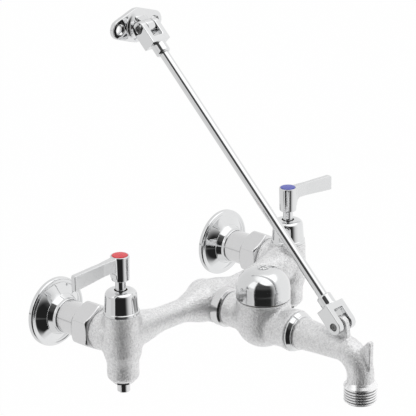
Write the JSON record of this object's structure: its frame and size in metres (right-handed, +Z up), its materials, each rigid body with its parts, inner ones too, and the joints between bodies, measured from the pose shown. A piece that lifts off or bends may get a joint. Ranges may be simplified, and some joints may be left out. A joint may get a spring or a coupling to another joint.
{
  "type": "service sink faucet",
  "caption": "Wall-mounted service sink faucet with lever handles, integral stops, vacuum breaker dome, hose-thread spout with pail hook and a hinged top brace.",
  "frame": {"origin": "on the wall face, midway between the inlet axes", "axes": "+X along the wall to the right of a user who faces the wall, with hot at -X and cold at +X; +Y into the wall; +Z up"},
  "size_m": [0.3052, 0.2524, 0.2825],
  "materials": {
    "cast_satin": "rough cast surface under satin chrome plate",
    "polished": "polished chrome plate",
    "turned": "turned and satin chrome plated",
    "rubber": "moulded rubber",
    "disc_ceramic": null,
    "plain_brass": "machined brass",
    "index_red": "red index disc",
    "index_blue": "blue index disc"
  },
  "bodies": {
    "faucet": {"body_casting": "cast_satin", "flange_hot": "polished", "flange_cold": "polished", "coupling_hot": "turned", "coupling_cold": "turned", "coupling_nut_hot": "turned", "coupling_nut_cold": "turned", "coupling_washer_hot": "rubber", "coupling_washer_cold": "rubber", "cartridge_hot": "plain_brass", "cartridge_cold": "plain_brass", "seat_seal_hot": "rubber", "seat_seal_cold": "rubber", "fixed_disc_hot": "disc_ceramic", "fixed_disc_cold": "disc_ceramic", "bonnet_hot": "polished", "bonnet_cold": "polished", "stop_plug_hot": "turned", "stop_plug_cold": "turned", "union_ring": "turned", "union_gasket": "rubber", "union_tail": "turned", "breaker_body": "cast_satin", "breaker_insert": "plain_brass", "breaker_dome": "polished", "dome_screw": "polished", "dome_set_screw": "turned", "spout_nut": "polished", "split_ring": "turned", "spout_ring": "rubber", "spout": "cast_satin"},
    "hot_handle": {"moving_disc_hot": "disc_ceramic", "stem_hot": "polished", "stem_ring_hot": "rubber", "handle_hot": "polished", "handle_screw_hot": "polished", "index_button_hot": "index_red"},
    "hot_stop_washer": {"stop_washer_hot": "rubber"},
    "hot_stop_screw": {"stop_screw_hot": "turned"},
    "cold_handle": {"moving_disc_cold": "disc_ceramic", "stem_cold": "polished", "stem_ring_cold": "rubber", "handle_cold": "polished", "handle_screw_cold": "polished", "index_button_cold": "index_blue"},
    "cold_stop_washer": {"stop_washer_cold": "rubber"},
    "cold_stop_screw": {"stop_screw_cold": "turned"},
    "poppet": {"breaker_poppet": "plain_brass", "poppet_seal": "rubber", "vent_washer": "rubber"},
    "brace": {"lower_clevis": "polished", "brace_rod": "polished", "upper_clevis": "polished", "lower_pin": "turned", "upper_pin": "turned"},
    "bracket": {"wall_bracket": "polished"}
  },
  "joints": [
    {"name": "hot_handle_turn", "type": "hinge", "parent": "faucet", "child": "hot_handle", "pos_m": [-0.1016, -0.078, 0.06], "axis": [0, 0, 1], "range_deg": [0, 90]},
    {"name": "cold_handle_turn", "type": "hinge", "parent": "faucet", "child": "cold_handle", "pos_m": [0.1016, -0.078, 0.06], "axis": [0, 0, -1], "range_deg": [-5, 85]},
    {"name": "hot_stop_lift", "type": "slide", "parent": "faucet", "child": "hot_stop_washer", "axis": [0, 0, 1], "range_m": [0, 0.007]},
    {"name": "hot_stop_turn", "type": "hinge", "parent": "hot_stop_washer", "child": "hot_stop_screw", "pos_m": [-0.1016, -0.078, -0.04], "axis": [0, 0, 1], "range_deg": [0, 1440]},
    {"name": "cold_stop_lift", "type": "slide", "parent": "faucet", "child": "cold_stop_washer", "axis": [0, 0, 1], "range_m": [0, 0.007]},
    {"name": "cold_stop_turn", "type": "hinge", "parent": "cold_stop_washer", "child": "cold_stop_screw", "pos_m": [0.1016, -0.078, -0.04], "axis": [0, 0, 1], "range_deg": [0, 1440]},
    {"name": "poppet_lift", "type": "slide", "parent": "faucet", "child": "poppet", "axis": [0, 0, 1], "range_m": [0, 0.0042]},
    {"name": "brace_swing", "type": "hinge", "parent": "faucet", "child": "brace", "pos_m": [0, -0.2192, 0.0175], "axis": [1, 0, 0], "range_deg": [-14, 95]},
    {"name": "bracket_swing", "type": "hinge", "parent": "brace", "child": "bracket", "pos_m": [0, -0.0145, 0.2206], "axis": [1, 0, 0], "range_deg": [-40, 125]}
  ],
  "couplings": [
    {"joint": "hot_stop_turn", "follows": "hot_stop_lift", "rad_per_m": 3590.4},
    {"joint": "cold_stop_turn", "follows": "cold_stop_lift", "rad_per_m": 3590.4}
  ]
}
